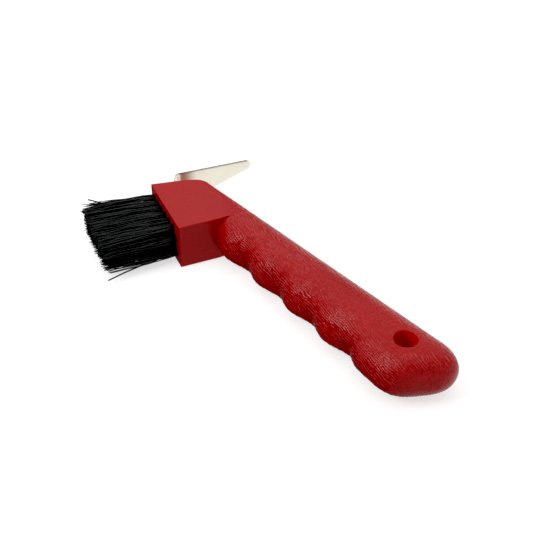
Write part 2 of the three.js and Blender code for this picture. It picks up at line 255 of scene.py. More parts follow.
def grain_mask(x, y, z, nz):
    """Where the grain is: not on the head, light on the crests, the end wall and round the hole."""
    m = smoothstep(0.0, 9.0, x - np.clip(40.9 - (y + 3.9) * 1.14, 24.0, 40.9))
    m = m * (1 - smoothstep(0.955, 0.996, nz) * (0.10 + 0.55 * smoothstep(84, 108, x)))
    m = m * (1 - 0.55 * smoothstep(8.0, 13.0, y))
    m = m * (0.12 + 0.88 * smoothstep(5.6, 8.5, np.hypot(x - HOLE[0], y - HOLE[1])))
    end = smoothstep(151, 156, x) * (1 - smoothstep(0.40, 0.70, nz)) * (1 - smoothstep(9, 13, y))
    return m * (1 - 0.55 * end)


def build_grip():
    xs = np.linspace(START_X, CAP_X, STATIONS + 1)
    near = np.stack([xs, near_y(xs)], 1)
    # round the valleys slightly, keeping the crests
    k = np.array([1, 4, 6, 4, 1]) / 16.0
    ys = near[:, 1].copy()
    for _ in range(3):
        ys[2:-2] = sum(k[j] * ys[j:len(ys) - 4 + j] for j in range(5))
    near[:, 1] = ys
    soft = near[:, 1].copy()
    k = np.ones(9) / 9.0
    for _ in range(60):
        soft = np.convolve(np.pad(soft, 4, mode="edge"), k, mode="valid")
    blend = smoothstep(xs[0] + 20, xs[0] + 34, xs) * (1 - smoothstep(126, 140, xs))
    soft = near[:, 1] + (soft - near[:, 1]) * 0.95 * blend
    far = np.stack([xs, back_y(xs)], 1)
    spine = np.stack([xs, spine_y(xs)], 1)
    cap_idx = np.linspace(CAP_FROM, len(LOBE) - 1, CAP_ROWS + 1)[1:-1]
    cap = np.stack([np.interp(cap_idx, np.arange(len(LOBE)), LOBE[:, i]) for i in (0, 1)], 1)

    edge, centre, power, key = [], [], [], []
    for i in range(STATIONS + 1):
        edge.append(near[i]); centre.append(spine[i]); power.append(POWER); key.append(i)
    eased = np.stack([xs, soft], 1)
    for p in cap:
        edge.append(p); centre.append(spine[-1]); power.append(POWER); key.append(STATIONS)
    for i in range(STATIONS, -1, -1):
        edge.append(far[i]); centre.append(spine[i]); power.append(float(back_power(xs[i]))); key.append(i)
    cy = float(back_y(START_X))
    wall_angle = math.atan2(1, WALL)
    top = np.array([(cy - FACE_A[1]) * WALL, cy])
    arc_x = top[0] + CORNER_R * math.tan(wall_angle / 2)
    centre0 = np.array([arc_x, cy - CORNER_R])
    out = np.array([-math.sin(wall_angle), math.cos(wall_angle)]) * SKIN
    for j in range(25):
        a = math.pi / 2 + wall_angle * j / 24
        p = centre0 + CORNER_R * np.array([math.cos(a), math.sin(a)])
        if p[0] < START_X - 0.01:
            edge.append(p + out * j / 24); centre.append(spine[0])
            power.append(HEAD_POWER * (14.0 / HEAD_POWER) ** (j / 24)); key.append(0)
    last = edge[-1]
    low = np.array([(4.2 - FACE_A[1]) * WALL, 4.2]) + out
    for j in range(1, 9):
        edge.append(last + (low - last) * j / 8); centre.append(spine[0])
        power.append(14.0 * (40.0 / 14.0) ** (j / 8)); key.append(0)
    edge.append(np.array([12.0, -1.0])); centre.append(spine[0]); power.append(6.0); key.append(0)

    edge, centre, power = np.array(edge), np.array(centre), np.array(power)
    rows = len(edge)
    # each half section, resampled to even steps along its own length
    dense = np.linspace(math.pi / 2, -math.pi / 2, 721)
    P = np.zeros((rows, HALF + 1, 3))
    V = np.zeros((rows, HALF + 1))
    for r in range(rows):
        e = 2 / power[r]
        c = np.abs(np.cos(dense)) ** e
        c[0] = c[-1] = 0
        s = np.sign(np.sin(dense)) * np.abs(np.sin(dense)) ** e
        way = edge[r] - centre[r]
        if r <= STATIONS:
            ease = np.where(s > -0.3, smoothstep(-0.30, 0.50, s), smoothstep(0.42, 0.92, -s))
            way = way + (eased[r] - near[r]) * ease[:, None]
        xy = centre[r] + way * c[:, None]
        z = MID + (MID + SKIN) * s
        q = np.column_stack([xy, z])
        arc = np.concatenate([[0], np.cumsum(np.linalg.norm(np.diff(q, axis=0), axis=1))])
        at = np.linspace(0, arc[-1], HALF + 1)
        for i in range(3):
            P[r, :, i] = np.interp(at, arc, q[:, i])
        V[r] = at - arc[-1] / 2
    S = np.concatenate([[0], np.cumsum(np.linalg.norm(np.diff(edge, axis=0), axis=1))])[:, None] + 0 * V

    # moulded grain: long wavy ridges, slanting along the grip
    du = np.empty_like(P)
    du[1:-1] = P[2:] - P[:-2]
    du[0], du[-1] = P[1] - P[0], P[-1] - P[-2]
    dv = np.empty_like(P)
    dv[:, 1:-1] = P[:, 2:] - P[:, :-2]
    dv[:, 0], dv[:, -1] = P[:, 1] - P[:, 0], P[:, -1] - P[:, -2]
    N = np.cross(du, dv)
    N /= np.maximum(np.linalg.norm(N, axis=2, keepdims=True), 1e-9)
    mid_row = rows // 2
    if np.dot(N[mid_row, HALF // 2], edge_out(centre[mid_row], edge[mid_row])) < 0:
        N = -N
    X, Y, Z = P[..., 0], P[..., 1], P[..., 2]
    lines, pebble = grain_lines(X, Y, Z)
    h = GRAIN * (lines + 0.25 * pebble) * grain_mask(X, Y, Z, np.abs(N[..., 2]))
    edge_fade = smoothstep(0, 1.2, V - V[:, :1]) * smoothstep(0, 1.2, V[:, -1:] - V)
    h = h * edge_fade
    # mould parting line round the middle of the outline
    h = h + 0.05 * np.exp(-(V / 0.16) ** 2) * (0.6 + 0.4 * noise2(S / 9.0, V * 0, 16)) * smoothstep(20, 24, X)
    P = P + N * h[..., None]

    # vertices: crest points are shared by the near row, the far row and the fans
    verts, top_id, bot_id = [], {}, {}
    ids = np.zeros((rows, HALF + 1), int)
    for r in range(rows):
        kk = key[r]
        if kk not in top_id:
            top_id[kk] = len(verts); verts.append(P[r, 0])
            bot_id[kk] = len(verts); verts.append(P[r, -1])
        ids[r, 0], ids[r, -1] = top_id[kk], bot_id[kk]
        n0 = len(verts)
        verts.extend(P[r, 1:-1])
        ids[r, 1:-1] = np.arange(n0, n0 + HALF - 1)
    faces = []
    for r in range(rows):
        a, b = ids[r], ids[(r + 1) % rows]
        for j in range(HALF):
            f = [a[j], b[j], b[j + 1], a[j + 1]]
            if f[0] == f[1]:
                f = [f[0], f[2], f[3]]
            elif f[2] == f[3]:
                f = [f[0], f[1], f[2]]
            faces.append(f)
    return object_of("handle", np.array(verts), faces)


def edge_out(c, e):
    d = np.array([e[0] - c[0], e[1] - c[1], 0.0])
    return d / np.linalg.norm(d)


def prism(name, outline, z0, z1, bevel=0.0, segments=3):
    n = len(outline)
    v = [(x, y, z0) for x, y in outline] + [(x, y, z1) for x, y in outline]
    f = [list(range(n))[::-1], list(range(n, 2 * n))] + [[i, (i + 1) % n, n + (i + 1) % n, n + i] for i in range(n)]
    o = object_of(name, np.array(v, float), f)
    if bevel:
        bm = bmesh.new()
        bm.from_mesh(o.data)
        bmesh.ops.bevel(bm, geom=list(bm.edges), offset=bevel * M, segments=segments, profile=0.5, affect="EDGES", clamp_overlap=True)
        bmesh.ops.triangulate(bm, faces=[x for x in bm.faces if len(x.verts) > 4])
        bm.to_mesh(o.data)
        bm.free()
    return o


def revolved(name, origin, axis, side, profile, sides):
    """Closed solid of revolution; profile is (radius, height) from axis to axis."""
    origin, axis, side = (np.array(v, float) for v in (origin, axis, side))
    up = np.cross(axis, side)
    v, f, rings = [], [], []
    for r, h in profile:
        if r < 1e-9:
            rings.append([len(v)]); v.append(origin + axis * h)
        else:
            ring = []
            for k in range(sides):
                a = 2 * math.pi * k / sides
                ring.append(len(v)); v.append(origin + axis * h + (side * math.cos(a) + up * math.sin(a)) * r)
            rings.append(ring)
    for a, b in zip(rings, rings[1:]):
        for k in range(sides):
            k1 = (k + 1) % sides
            if len(a) == 1:
                f.append([a[0], b[k], b[k1]])
            elif len(b) == 1:
                f.append([a[k], b[0], a[k1]])
            else:
                f.append([a[k], b[k], b[k1], a[k1]])
    return v, f


FACE_DIR = (FACE_B - FACE_A) / np.linalg.norm(FACE_B - FACE_A)
FACE_OUT = np.array([FACE_DIR[1], -FACE_DIR[0]])


def face_point(t, z, d):
    t, z, d = (np.asarray(q, float) for q in (t, z, d))
    x = FACE_A[0] + FACE_DIR[0] * t + FACE_OUT[0] * d
    y = FACE_A[1] + FACE_DIR[1] * t + FACE_OUT[1] * d
    return np.stack(np.broadcast_arrays(x, y, z), -1)


SITES = [
    (r, c, FIRST + c * TUFT_PITCH + (0 if r % 2 else STAGGER), MID + (r - (ROWS - 1) / 2) * ROW_PITCH)
    for r in range(ROWS) for c in range(PER_ROW)
]


def build_body():
    grip = build_grip()
    head = prism("head", [FACE_A, FACE_B, SIDE_D, CREST, (16.0, 5.2), ((5.2 - FACE_A[1]) * WALL, 5.2)], 0, T, bevel=0.32)
    body = boolean(grip, head, "UNION")
    verts, faces = [], []

    def add(v, f):
        n = len(verts)
        verts.extend(v)
        faces.extend([[i + n for i in q] for q in f])

    rim = [(HOLE_R + 0.4 * (1 - math.cos(a)), 0.4 * math.sin(a)) for a in np.linspace(0, math.radians(72), 7)]
    profile = [(0, -3.0), (rim[-1][0] + 0.8, -3.0), (rim[-1][0] + 0.8, -0.6)]
    profile += [(r, 0.42 - h) for r, h in rim[::-1]]
    profile += [(r, T - 0.42 + h) for r, h in rim]
    profile += [(rim[-1][0] + 0.8, T + 0.6), (rim[-1][0] + 0.8, T + 3.0), (0, T + 3.0)]
    add(*revolved("hole", (HOLE[0], HOLE[1], 0), (0, 0, 1), (1, 0, 0), profile, 96))
    out3 = (FACE_OUT[0], FACE_OUT[1], 0)
    side3 = (FACE_DIR[0], FACE_DIR[1], 0)
    for r, c, t, z in SITES:
        o = face_point(t, z, 0.0)
        add(*revolved("tuft", o, out3, side3, [
            (0, -HOLE_D), (TUFT_HOLE_R * 0.55, -HOLE_D + 0.1), (TUFT_HOLE_R, -HOLE_D + 0.75), (TUFT_HOLE_R, -0.22),
            (TUFT_HOLE_R + 0.22, 0.02), (TUFT_HOLE_R + 0.22, 1.2), (0, 1.2)], 28))
    cutters = object_of("cutters", np.array(verts), faces)
    body = boolean(body, cutters, "DIFFERENCE")
    g = 0.06
    slot = prism("slot", [(-6, TANG_Y - STRIP_T / 2 - g), (TANG_END + g, TANG_Y - STRIP_T / 2 - g),
                          (TANG_END + g, TANG_Y + STRIP_T / 2 + g), (-6, TANG_Y + STRIP_T / 2 + g)],
                 MID - TANG_W / 2 - g, MID + TANG_W / 2 + g)
    for x in TANG_HOLES:
        v, f = revolved("key", (x, TANG_Y, MID), (0, 1, 0), (1, 0, 0),
                        [(0, -3), (TANG_HOLE_R - g, -3), (TANG_HOLE_R - g, 3), (0, 3)], 32)
        slot = boolean(slot, object_of("key", np.array(v), f), "DIFFERENCE")
    body = boolean(body, slot, "DIFFERENCE")
    body.name = body.data.name = "handle_moulding"
    shade(body, 42)
    me = body.data
    n = len(me.vertices)
    co = np.empty(n * 3)
    me.vertices.foreach_get("co", co)
    nor = np.empty(n * 3)
    me.vertices.foreach_get("normal", nor)
    q = co.reshape(-1, 3) / M + ORIGIN
    lines, pebble = grain_lines(q[:, 0], q[:, 1], q[:, 2])
    cover = grain_mask(q[:, 0], q[:, 1], q[:, 2], np.abs(nor.reshape(-1, 3)[:, 2]))
    flat = (np.abs(q[:, 2] - MID) > MID - 0.008) & (q[:, 0] < 43.5)
    side = (np.abs(q[:, 0] - (FACE_B[0] + (q[:, 1] - FACE_B[1]) * 5.4 / 16.9)) < 0.4) & (q[:, 1] < SIDE_D[1] + 0.4)
    cover = np.where(flat | side, 0.0, cover)
    # mask of the hang hole's bore wall, for a painted glow of light through the plastic
    painted_bore_glow = 1 - smoothstep(HOLE_R + 0.02, HOLE_R + 0.15, np.hypot(q[:, 0] - HOLE[0], q[:, 1] - HOLE[1]))
    # the grain value, weighted more toward the top of the grip, drives a painted highlight on the ridge tops
    for key, value in (("grain", lines * cover * (0.30 + 0.70 * smoothstep(3.5, 11.0, q[:, 2]))), ("painted_bore_glow", painted_bore_glow)):
        at = me.attributes.new(key, "FLOAT", "POINT")
        at.data.foreach_set("value", value)
    w = body.modifiers.new("even", "WEIGHTED_NORMAL")
    w.keep_sharp, w.weight = True, 60
    return body


# -------------------------------------------------------------------- blade
def build_blade():
    path = []                      # (x, y, heading, width)
    for x in [TANG_END, TANG_END - 0.5, TANG_END - 1.2, 31, 28, 25, 22, 19, 16, 13, 10, 8, 7.0, 6.2, 5.35]:
        w = TANG_W - 2.4 * max(0, (x - (TANG_END - 1.2)) / 1.2)
        path.append((x, TANG_Y, math.pi, w))
    turn = math.pi - HEADING
    cx, cy = BEND_X, TANG_Y + BEND_R
    shoulder = 5.35 - BEND_X
    for k in range(1, 5):
        x = 5.35 - shoulder * k / 5
        u = 0.35 * k / 5
        path.append((x, TANG_Y, math.pi, TANG_W + (ROOT_W - TANG_W) * (u * u * (3 - 2 * u)) * 1.2))
    for k in range(29):
        a = -math.pi / 2 - turn * k / 28
        u = 0.35 + 0.65 * k / 28
        path.append((cx + BEND_R * math.cos(a), cy + BEND_R * math.sin(a), math.pi - turn * k / 28,
                     min(ROOT_W, TANG_W + (ROOT_W - TANG_W) * (u * u * (3 - 2 * u)) * 1.2) if k < 28 else ROOT_W))
    ex, ey = path[-1][0], path[-1][1]
    d = np.array([math.cos(HEADING), math.sin(HEADING)])
    tip_r = TIP_W / 2
    straight = BLADE_L - tip_r
    for u in np.linspace(0, 1, 41)[1:]:
        path.append((ex + d[0] * straight * u, ey + d[1] * straight * u, HEADING, ROOT_W + (TIP_W - ROOT_W) * u))
    for a in np.radians([8, 16, 24, 32, 40, 48, 55, 62, 68, 74, 79, 83]):
        s = straight + tip_r * math.sin(a)
        path.append((ex + d[0] * s, ey + d[1] * s, HEADING, TIP_W * math.cos(a)))
    r = 0.16                       # edge radius of the strip
    verts, n = [], None
    for x, y, h, w in path:
        hx, hy = math.cos(h), math.sin(h)
        sx, sy = hy, -hx           # right of the heading
        rr = min(r, w / 2 * 0.8)
        ring = []
        for cs, cz, a0 in ((1, -1, -90), (1, 1, 0), (-1, 1, 90), (-1, -1, 180)):
            for q in range(6):
                a = math.radians(a0 + 90 * q / 5)
                u = cs * (STRIP_T / 2 - rr) + rr * math.cos(a)
                z = cz * (w / 2 - rr) + rr * math.sin(a)
                ring.append((x + sx * u, y + sy * u, MID + z))
        n = len(ring)
        verts += ring
    rows = len(path)
    faces = [[i * n + j, i * n + (j + 1) % n, (i + 1) * n + (j + 1) % n, (i + 1) * n + j]
             for i in range(rows - 1) for j in range(n)]
    faces.append(list(range(n))[::-1])
    faces.append([(rows - 1) * n + j for j in range(n)])
    blade = object_of("blade", np.array(verts), faces)
    for x in TANG_HOLES:
        v, f = revolved("hole", (x, TANG_Y, MID), (0, 1, 0), (1, 0, 0),
                        [(0, -2), (TANG_HOLE_R, -2), (TANG_HOLE_R, 2), (0, 2)], 40)
        blade = boolean(blade, object_of("hole", np.array(v), f), "DIFFERENCE")
    blade.name = blade.data.name = "pick_blade_plated"
    shade(blade, 35)
    return blade


# ------------------------------------------------------------------ bristles
FAN_T, FAN_Z, LEAN = 0.13, 0.07, -2.4
CENTRE_T = FIRST + ((PER_ROW - 1) * TUFT_PITCH + STAGGER) / 2
FIL_R = 0.185


def tube(points, radius, sides, tilt):
    """One filament: rings square to its path, closed by its two cut ends."""
    p = np.array(points, float)
    t = np.gradient(p, axis=0)
    t /= np.linalg.norm(t, axis=1, keepdims=True)
    side = np.zeros_like(p)
    ref = np.array([0.3, 0.2, 1.0]) if abs(t[0, 2]) < 0.9 else np.array([1.0, 0, 0])
    side[0] = np.cross(t[0], ref)
    side[0] /= np.linalg.norm(side[0])
    for i in range(1, len(p)):
        s = side[i - 1] - t[i] * np.dot(side[i - 1], t[i])
        side[i] = s / np.linalg.norm(s)
    up = np.cross(t, side)
    v = []
    for i in range(len(p)):
        r = radius * (0.97 if 0 < i < len(p) - 1 else 0.86)
        for k in range(sides):
            a = 2 * math.pi * k / sides
            off = side[i] * math.cos(a) + up[i] * math.sin(a)
            q = p[i] + off * r
            if i in (0, len(p) - 1):
                q = q + t[i] * r * tilt * math.cos(a + tilt * 9)
            v.append(q)
    f = [[i * sides + k, i * sides + (k + 1) % sides, (i + 1) * sides + (k + 1) % sides, (i + 1) * sides + k]
         for i in range(len(p) - 1) for k in range(sides)]
    f.append([k for k in range(sides)][::-1])
    f.append([(len(p) - 1) * sides + k for k in range(sides)])
    return v, f


OUT_D = np.array([0.4, 2.0, 5.0, 9.0, 13.5, 18.5, 24.0, 29.0, 1e9])


def limb(rng, t0, z0, u, w, loose=1.0):
    """Points of one limb, from the mouth of the hole to the tip. u, w: place in the tuft."""
    first = max(0.0, 1 - (t0 - FIRST) / 3.5)
    last = max(0.0, 1 - (31.8 - t0) / 3.5)
    upper = smoothstep(9.0, 17.0, z0)
    L = LENGTH - 0.9 + upper * (1.1 - (0.4 + 3.4 * max(0.0, -u / 1.5)) * first) + rng.normal(0, 0.55) - (rng.rand() < 0.10) * rng.uniform(0.8, 4.0)
    bend_t, bend_z = rng.normal(0, 1.05) * loose, rng.normal(0, 0.95) * loose
    if z0 + w < 5.5:
        bend_z = abs(bend_z) * 0.6
    if z0 + w > 15.5:
        bend_z = -abs(bend_z) * 0.7
    lean_t, lean_z = rng.normal(0, 0.35), rng.normal(0, 0.35)
    wave_t, wave_z = rng.normal(0, 0.20, 2)
    phase = rng.uniform(0, 6.28)
    pts = []
    for d in OUT_D:
        d = min(d, L)
        g = d / LENGTH
        spread = 1 + 0.88 * (1 - math.exp(-d / 6.0))
        t = t0 + u * spread
        outer = (w < 0 and z0 < 7) or (w > 0 and z0 > 14)
        z = z0 + w * (1 + 0.5 * (spread - 1) if outer else spread)
        t += (t0 - CENTRE_T) * FAN_T * g + (LEAN + 1.6 * first - 1.1 * last) * g + bend_t * g * g + lean_t * g + wave_t * math.sin(phase + d * 0.28) * min(1, d / 6)
        z += (z0 - MID) * FAN_Z * g + 0.5 * (1 - upper) * (z0 < 7) * g + bend_z * g * g + lean_z * g + wave_z * math.cos(phase + d * 0.24) * min(1, d / 6)
        z = 0.4 + math.hypot(z - 0.4, 0.25) if z < 2 else z
        z = min(z, 20.6)
        pts.append(face_point(t, z, d))
        if d >= L:
            break
    return pts


# single filaments that have sprung out of the bundle: (row, col) -> path of (t, z, d)
STRAYS = {
    (3, 0): [(4.6, 17.4, 1.5), (5.0, 18.2, 9.0), (5.2, 18.9, 16.0), (4.9, 19.3, 21.8), (3.6, 20.0, 25.0), (0.4, 20.7, 29.2)],
    (0, 5): [(32.5, 4.5, 1.5), (33.0, 4.3, 8.2), (33.2, 3.7, 15.0), (34.5, 3.0, 24.4), (36.0, 2.2, 32.3)],
}


def build_tuft(r, c, t0, z0):
    rng = np.random.RandomState(1000 + 37 * r + c)
    verts, faces = [], []
    places = []
    # even places over the upper half of the round hole
    for q in range(200):
        rad = 1.50 * math.sqrt((q + 0.5) / 52.0)
        a = q * 2.399963
        u, w = rad * math.cos(a), rad * math.sin(a)
        if rad > 1.51:
            break
        if w > 0.06:
            places.append((u, w))
    stray = STRAYS.get((r, c))
    for i, (u, w) in enumerate(places):
        u += rng.normal(0, 0.04)
        w = max(0.12, w + rng.normal(0, 0.04))
        dip = -HOLE_D + 0.75 + 0.18 * rng.rand()
        upper = limb(rng, t0, z0, u, w)
        lower = limb(rng, t0, z0, u + rng.normal(0, 0.05), -w)
        inner = [
            face_point(t0 + u, z0 + w, -1.5), face_point(t0 + u * 0.95, z0 + w * 0.95, -5.0),
            face_point(t0 + u * 0.9, z0 + 0.35 + 0.5 * w, -6.9), face_point(t0 + u * 0.85, z0 + 0.30 + 0.2 * w, -7.8),
            face_point(t0 + u * 0.8, z0, dip),
            face_point(t0 + u * 0.85, z0 - 0.30 - 0.2 * w, -7.8), face_point(t0 + u * 0.9, z0 - 0.35 - 0.5 * w, -6.9),
            face_point(t0 + u * 0.95, z0 - w * 0.95, -5.0), face_point(t0 + u, z0 - w, -1.5),
        ]
        if stray and i == 3:
            if r:
                upper = [upper[0]] + [face_point(*p) for p in stray]
            else:
                lower = [lower[0]] + [face_point(*p) for p in stray]
        thick = 1.8 if stray and i == 3 else 1.0
        v, f = tube(upper[::-1] + inner + lower, FIL_R * thick, 6, rng.uniform(-0.5, 0.5))
        n = len(verts)
        verts.extend(v)
        faces.extend([[j + n for j in q] for q in f])
    o = object_of(f"bristles_{r + 1}_{c + 1}", np.array(verts), faces)
    shade(o, 60)
    return o


# ----------------------------------------------------------------- materials
def material(name):
    m = bpy.data.materials.new(name)
    m.use_nodes = True
    nt = m.node_tree
    bsdf = nt.nodes["Principled BSDF"]
    return m, nt, bsdf


def node(nt, kind, **values):
    n = nt.nodes.new(kind)
    for k, v in values.items():
        if hasattr(n, k):
            setattr(n, k, v)
        else:
            n.inputs[k].default_value = v
    return n


def link(nt, a, b):
    nt.links.new(a, b)


def ramp(nt, fac, stops):
    r = nt.nodes.new("ShaderNodeValToRGB")
    el = r.color_ramp.elements
    el[0].position, el[0].color = stops[0][0], (*stops[0][1], 1)
    el[1].position, el[1].color = stops[-1][0], (*stops[-1][1], 1)
    for p, c in stops[1:-1]:
        e = el.new(p)
        e.color = (*c, 1)
    link(nt, fac, r.inputs["Fac"])
    return r


def red_plastic():
    m, nt, b = material("red_plastic")
    co = nt.nodes.new("ShaderNodeTexCoord")
    big = node(nt, "ShaderNodeTexNoise", **{"Scale": 38.0, "Detail": 4.0, "Roughness": 0.55})
    link(nt, co.outputs["Object"], big.inputs["Vector"])
    col = ramp(nt, big.outputs["Fac"], [
        (0.25, (0.342, 0.0095, 0.0105)), (0.5, (0.364, 0.0110, 0.0122)), (0.78, (0.388, 0.0130, 0.0143))])
    # ridge tops of the grain are mixed toward a paler red: a painted highlight standing in for glints on the ridges,
    # stronger higher up
    grain = nt.nodes.new("ShaderNodeAttribute")
    grain.attribute_name = "grain"
    ridge_painted_highlight = nt.nodes.new("ShaderNodeMapRange")
    ridge_painted_highlight.interpolation_type = "SMOOTHSTEP"
    ridge_painted_highlight.inputs["From Min"].default_value, ridge_painted_highlight.inputs["From Max"].default_value = 0.48, 0.98
    ridge_painted_highlight.inputs["To Min"].default_value, ridge_painted_highlight.inputs["To Max"].default_value = 0.0, 0.66
    link(nt, grain.outputs["Fac"], ridge_painted_highlight.inputs["Value"])
    mix = nt.nodes.new("ShaderNodeMix")
    mix.data_type = "RGBA"
    link(nt, ridge_painted_highlight.outputs["Result"], mix.inputs["Factor"])
    link(nt, col.outputs["Color"], mix.inputs["A"])
    mix.inputs["B"].default_value = (0.500, 0.070, 0.070, 1)
    # the bore wall is painted a brighter, purer red: a painted glow standing in for light coming through the
    # translucent plastic
    painted_bore_glow = nt.nodes.new("ShaderNodeAttribute")
    painted_bore_glow.attribute_name = "painted_bore_glow"
    painted_glow_mix = nt.nodes.new("ShaderNodeMix")
    painted_glow_mix.data_type = "RGBA"
    link(nt, painted_bore_glow.outputs["Fac"], painted_glow_mix.inputs["Factor"])
    link(nt, mix.outputs["Result"], painted_glow_mix.inputs["A"])
    painted_glow_mix.inputs["B"].default_value = (0.620, 0.0100, 0.0130, 1)
    fine = node(nt, "ShaderNodeTexNoise", **{"Scale": 900.0, "Detail": 3.0, "Roughness": 0.6})
    link(nt, co.outputs["Object"], fine.inputs["Vector"])
    rough = nt.nodes.new("ShaderNodeMapRange")
    rough.inputs["From Min"].default_value, rough.inputs["From Max"].default_value = 0.3, 0.7
    rough.inputs["To Min"].default_value, rough.inputs["To Max"].default_value = 0.19, 0.29
    link(nt, fine.outputs["Fac"], rough.inputs["Value"])
    link(nt, rough.outputs["Result"], b.inputs["Roughness"])
    micro = node(nt, "ShaderNodeTexNoise", **{"Scale": 3800.0, "Detail": 2.0, "Roughness": 0.5})
    link(nt, co.outputs["Object"], micro.inputs["Vector"])
    pebble = node(nt, "ShaderNodeTexNoise", **{"Scale": 850.0, "Detail": 2.0, "Roughness": 0.6})
    link(nt, co.outputs["Object"], pebble.inputs["Vector"])
    # the grip is textured past a slanting line; x and y here are in metres from the row's origin
    xyz = nt.nodes.new("ShaderNodeSeparateXYZ")
    link(nt, co.outputs["Object"], xyz.inputs["Vector"])

    def math_node(op, a, b):
        n = nt.nodes.new("ShaderNodeMath")
        n.operation = op
        for i, v in enumerate((a, b)):
            if isinstance(v, float):
                n.inputs[i].default_value = v
            else:
                link(nt, v, n.inputs[i])
        return n.outputs["Value"]

    x, y = xyz.outputs["X"], xyz.outputs["Y"]
    slant = math_node("ADD", math_node("ADD", x, math_node("MULTIPLY", y, 1.14)), float((ORIGIN[0] + 1.14 * ORIGIN[1] - 36.45) * M))
    past = math_node("MAXIMUM", math_node("SUBTRACT", x, float((40.9 - ORIGIN[0]) * M)),
                     math_node("MINIMUM", math_node("SUBTRACT", x, float((24.0 - ORIGIN[0]) * M)), slant))
    textured = nt.nodes.new("ShaderNodeMapRange")
    textured.interpolation_type = "SMOOTHSTEP"
    textured.inputs["From Min"].default_value, textured.inputs["From Max"].default_value = 0.0, 0.009
    link(nt, past, textured.inputs["Value"])
    speckle = nt.nodes.new("ShaderNodeMix")
    speckle.data_type, speckle.blend_type = "RGBA", "MULTIPLY"
    tone = ramp(nt, pebble.outputs["Fac"], [(0.32, (0.84, 0.70, 0.70)), (0.5, (0.98, 0.95, 0.95)), (0.68, (1.10, 1.28, 1.28))])
    link(nt, textured.outputs["Result"], speckle.inputs["Factor"])
    link(nt, painted_glow_mix.outputs["Result"], speckle.inputs["A"])
    link(nt, tone.outputs["Color"], speckle.inputs["B"])
    link(nt, speckle.outputs["Result"], b.inputs["Base Color"])
    b.inputs["Specular IOR Level"].default_value = 0.20
    where = nt.nodes.new("ShaderNodeMath")
    where.operation = "MULTIPLY"
    link(nt, pebble.outputs["Fac"], where.inputs[0])
    link(nt, textured.outputs["Result"], where.inputs[1])
    grains = node(nt, "ShaderNodeBump", **{"Strength": 0.8, "Distance": 0.00022})
    link(nt, where.outputs["Value"], grains.inputs["Height"])
    bump = node(nt, "ShaderNodeBump", **{"Strength": 0.12, "Distance": 0.00002})
    link(nt, micro.outputs["Fac"], bump.inputs["Height"])
    link(nt, grains.outputs["Normal"], bump.inputs["Normal"])
    link(nt, bump.outputs["Normal"], b.inputs["Normal"])
    b.inputs["IOR"].default_value = 1.49
    b.inputs["Subsurface Weight"].default_value = 0.10
    b.inputs["Subsurface Radius"].default_value = (0.0040, 0.0004, 0.0003)
    b.inputs["Subsurface Scale"].default_value = 1.0
    return m


def plated_steel():
    m, nt, b = material("plated_steel")
    co = nt.nodes.new("ShaderNodeTexCoord")
    mp = nt.nodes.new("ShaderNodeMapping")
    mp.inputs["Scale"].default_value = (1.0, 0.12, 1.0)
    link(nt, co.outputs["Object"], mp.inputs["Vector"])
    streak = node(nt, "ShaderNodeTexNoise", **{"Scale": 1400.0, "Detail": 3.0, "Roughness": 0.6})
    link(nt, mp.outputs["Vector"], streak.inputs["Vector"])
    cloud = node(nt, "ShaderNodeTexNoise", **{"Scale": 60.0, "Detail": 3.0, "Roughness": 0.5})
    link(nt, co.outputs["Object"], cloud.inputs["Vector"])
    col = ramp(nt, cloud.outputs["Fac"], [(0.3, (0.640, 0.605, 0.505)), (0.7, (0.700, 0.665, 0.560))])
    sep = nt.nodes.new("ShaderNodeSeparateXYZ")
    link(nt, co.outputs["Object"], sep.inputs["Vector"])
    # a darker brownish band just past the bend, where the strip faces the red head: painted reflection of the red
    # head and painted shade in the bend
    root = nt.nodes.new("ShaderNodeMapRange")
    root.interpolation_type = "SMOOTHSTEP"
    root.inputs["From Min"].default_value, root.inputs["From Max"].default_value = 0.0108, 0.0190
    root.inputs["To Min"].default_value, root.inputs["To Max"].default_value = 0.9, 0.0
    link(nt, sep.outputs["Y"], root.inputs["Value"])
    turn = nt.nodes.new("ShaderNodeMapRange")
    turn.interpolation_type = "SMOOTHSTEP"
    turn.inputs["From Min"].default_value, turn.inputs["From Max"].default_value = 0.0080, 0.0102
    link(nt, sep.outputs["Y"], turn.inputs["Value"])
    reflection_band = nt.nodes.new("ShaderNodeMath")
    reflection_band.operation = "MULTIPLY"
    link(nt, root.outputs["Result"], reflection_band.inputs[0])
    link(nt, turn.outputs["Result"], reflection_band.inputs[1])
    painted_red_reflection = nt.nodes.new("ShaderNodeMix")
    painted_red_reflection.data_type = "RGBA"
    link(nt, reflection_band.outputs["Value"], painted_red_reflection.inputs["Factor"])
    link(nt, col.outputs["Color"], painted_red_reflection.inputs["A"])
    painted_red_reflection.inputs["B"].default_value = (0.240, 0.085, 0.056, 1)
    link(nt, painted_red_reflection.outputs["Result"], b.inputs["Base Color"])
    b.inputs["Metallic"].default_value = 1.0
    rough = nt.nodes.new("ShaderNodeMapRange")
    rough.inputs["From Min"].default_value, rough.inputs["From Max"].default_value = 0.3, 0.7
    rough.inputs["To Min"].default_value, rough.inputs["To Max"].default_value = 0.18, 0.30
    link(nt, streak.outputs["Fac"], rough.inputs["Value"])
    link(nt, rough.outputs["Result"], b.inputs["Roughness"])
    bump = node(nt, "ShaderNodeBump", **{"Strength": 0.2, "Distance": 0.00002})
    link(nt, streak.outputs["Fac"], bump.inputs["Height"])
    link(nt, bump.outputs["Normal"], b.inputs["Normal"])
    return m


